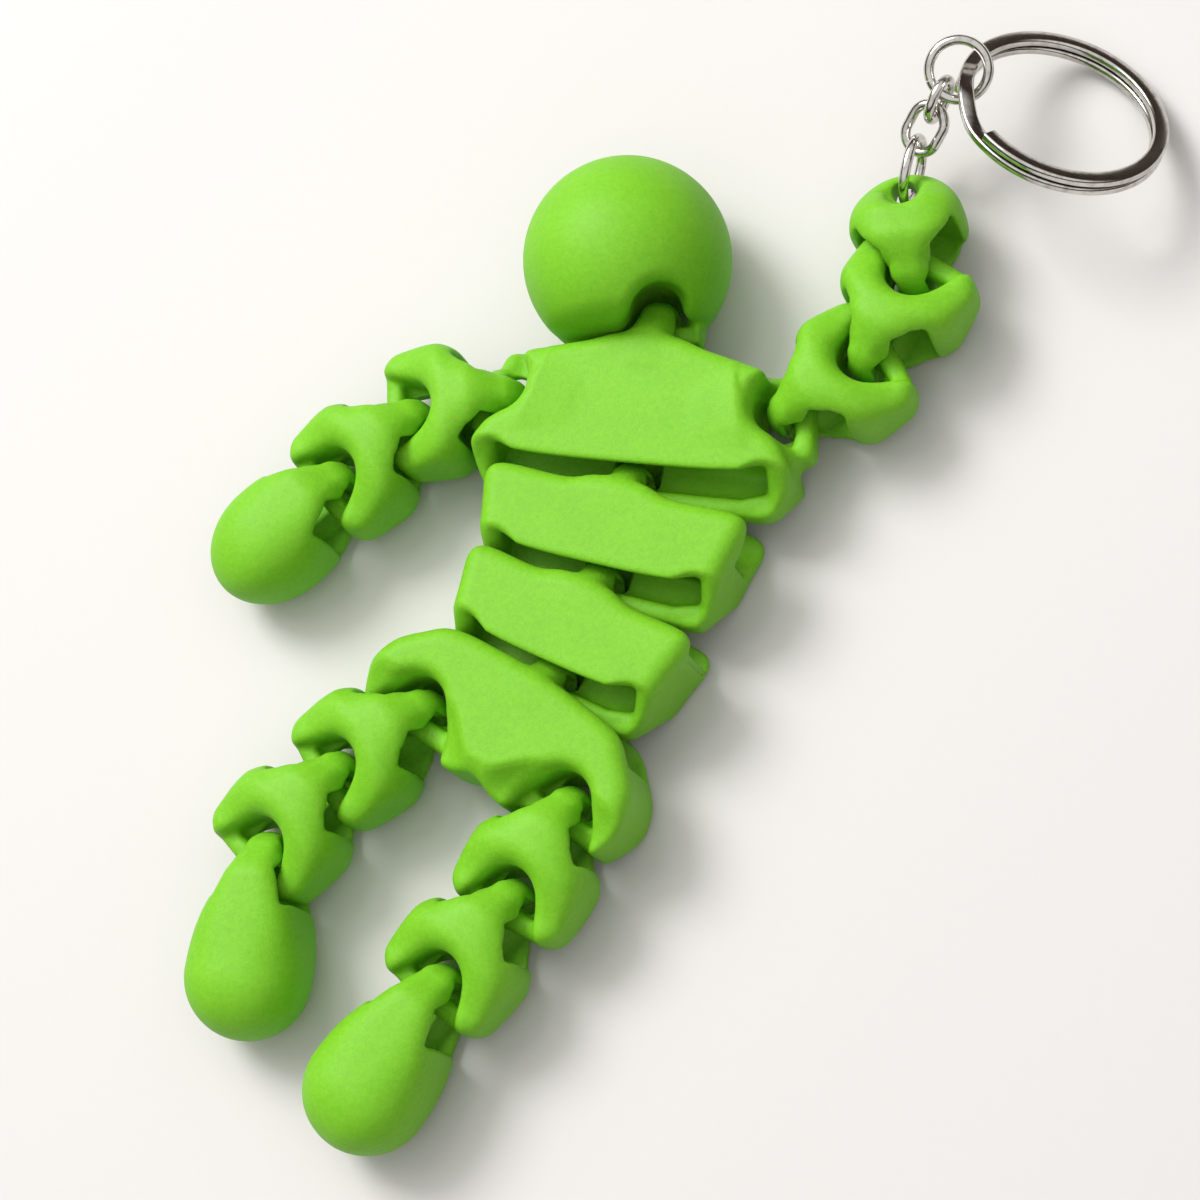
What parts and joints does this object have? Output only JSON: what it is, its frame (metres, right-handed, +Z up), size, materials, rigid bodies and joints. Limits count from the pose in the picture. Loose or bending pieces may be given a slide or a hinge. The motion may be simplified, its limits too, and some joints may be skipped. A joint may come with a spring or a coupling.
{
  "type": "toy figure",
  "caption": "Linked toy figure of smooth plastic pieces hooked through each other, with a plain ball head, on a short metal chain with a split key ring.",
  "frame": {"origin": "middle of the whole figure with its chain, on the surface that it lies on", "axes": "+Y towards the head and the key ring, +X towards the raised arm, +Z up out of the figure's front; it lies on its back"},
  "size_m": [0.1124, 0.13, 0.0209],
  "materials": {
    "green_plastic": "smooth matte lime green with a fine grain",
    "bright_metal": "bright nickel plating"
  },
  "bodies": {
    "chest": {"chest": "green_plastic"},
    "head": {"head": "green_plastic"},
    "waist_upper": {"waist_upper": "green_plastic"},
    "waist_lower": {"waist_lower": "green_plastic"},
    "pelvis": {"pelvis": "green_plastic"},
    "left_upper_arm": {"left_upper_arm": "green_plastic"},
    "left_forearm": {"left_forearm": "green_plastic"},
    "left_hand": {"left_hand": "green_plastic"},
    "right_upper_arm": {"right_upper_arm": "green_plastic"},
    "right_forearm": {"right_forearm": "green_plastic"},
    "right_hand": {"right_hand": "green_plastic"},
    "left_thigh": {"left_thigh": "green_plastic"},
    "left_shin": {"left_shin": "green_plastic"},
    "left_foot": {"left_foot": "green_plastic"},
    "right_thigh": {"right_thigh": "green_plastic"},
    "right_shin": {"right_shin": "green_plastic"},
    "right_foot": {"right_foot": "green_plastic"},
    "chain_link_a": {"chain_link_a": "bright_metal"},
    "chain_link_b": {"chain_link_b": "bright_metal"},
    "chain_link_c": {"chain_link_c": "bright_metal"},
    "chain_link_d": {"chain_link_d": "bright_metal"},
    "key_ring": {"key_ring": "bright_metal"}
  },
  "joints": [
    {"name": "head_swing", "type": "hinge", "parent": "chest", "child": "head", "pos_m": [-0.00219, 0.03211, 0.0063], "axis": [0, 0, 1], "range_deg": [-28, 2]},
    {"name": "waist_upper_swing", "type": "hinge", "parent": "chest", "child": "waist_upper", "pos_m": [-0.00492, 0.0127, 0.0063], "axis": [0, 0, -1], "range_deg": [-17, 3]},
    {"name": "waist_lower_swing", "type": "hinge", "parent": "waist_upper", "child": "waist_lower", "pos_m": [-0.00808, 0.00092, 0.0063], "axis": [0, 0, 1], "range_deg": [0, 20]},
    {"name": "pelvis_swing", "type": "hinge", "parent": "waist_lower", "child": "pelvis", "pos_m": [-0.01323, -0.01014, 0.0063], "axis": [0, 0, 1], "range_deg": [-1, 17]},
    {"name": "left_upper_arm_swing", "type": "hinge", "parent": "chest", "child": "left_upper_arm", "pos_m": [-0.01953, 0.02303, 0.0063], "axis": [0, 0, 1], "range_deg": [-58, 2]},
    {"name": "left_forearm_swing", "type": "hinge", "parent": "left_upper_arm", "child": "left_forearm", "pos_m": [-0.03111, 0.0214, 0.0063], "axis": [0, 0, 1], "range_deg": [-68, 6]},
    {"name": "left_hand_swing", "type": "hinge", "parent": "left_forearm", "child": "left_hand", "pos_m": [-0.0402, 0.01404, 0.0063], "axis": [0, 0, 1], "range_deg": [-39, 35]},
    {"name": "right_upper_arm_swing", "type": "hinge", "parent": "chest", "child": "right_upper_arm", "pos_m": [0.01197, 0.01861, 0.0063], "axis": [0, 0, 1], "range_deg": [-57, 3]},
    {"name": "right_forearm_swing", "type": "hinge", "parent": "right_upper_arm", "child": "right_forearm", "pos_m": [0.02148, 0.02432, 0.0063], "axis": [0, 0, -1], "range_deg": [-9, 65]},
    {"name": "right_hand_swing", "type": "hinge", "parent": "right_forearm", "child": "right_hand", "pos_m": [0.0272, 0.03384, 0.0063], "axis": [0, 0, 1], "range_deg": [-73, 1]},
    {"name": "left_thigh_swing", "type": "hinge", "parent": "pelvis", "child": "left_thigh", "pos_m": [-0.028, -0.01379, 0.0063], "axis": [0, 0, -1], "range_deg": [-8, 14]},
    {"name": "left_shin_swing", "type": "hinge", "parent": "left_thigh", "child": "left_shin", "pos_m": [-0.0382, -0.02066, 0.0063], "axis": [0, 0, -1], "range_deg": [-13, 50]},
    {"name": "left_foot_swing", "type": "hinge", "parent": "left_shin", "child": "left_foot", "pos_m": [-0.04659, -0.02966, 0.0063], "axis": [0, 0, 1], "range_deg": [-72, 2]},
    {"name": "right_thigh_swing", "type": "hinge", "parent": "pelvis", "child": "right_thigh", "pos_m": [-0.01056, -0.02511, 0.0063], "axis": [0, 0, -1], "range_deg": [-35, 7]},
    {"name": "right_shin_swing", "type": "hinge", "parent": "right_thigh", "child": "right_shin", "pos_m": [-0.01689, -0.03566, 0.0063], "axis": [0, 0, -1], "range_deg": [-45, 11]},
    {"name": "right_foot_swing", "type": "hinge", "parent": "right_shin", "child": "right_foot", "pos_m": [-0.02472, -0.04515, 0.0063], "axis": [0, 0, -1], "range_deg": [-33, 20]},
    {"name": "chain_link_a_swing", "type": "hinge", "parent": "right_hand", "child": "chain_link_a", "pos_m": [0.02622, 0.045, 0.0063], "axis": [0, 0, -1], "range_deg": [-30, 30]},
    {"name": "chain_link_b_swing", "type": "hinge", "parent": "chain_link_a", "child": "chain_link_b", "pos_m": [0.02795, 0.05146, 0.00795], "axis": [0, 0, 1], "range_deg": [-30, 30]},
    {"name": "chain_link_c_swing", "type": "hinge", "parent": "chain_link_b", "child": "chain_link_c", "pos_m": [0.03027, 0.05422, 0.0102], "axis": [0.766, -0.6428, 0], "range_deg": [-15, 30]},
    {"name": "chain_link_d_swing", "type": "hinge", "parent": "chain_link_c", "child": "chain_link_d", "pos_m": [0.03172, 0.05674, 0.01187], "axis": [0.25, 0.433, -0.866], "range_deg": [-30, 15]},
    {"name": "key_ring_swing", "type": "hinge", "parent": "chain_link_d", "child": "key_ring", "pos_m": [0.03613, 0.05648, 0.01128], "axis": [0.451, 0.7865, 0.422], "range_deg": [-25, 12]}
  ]
}
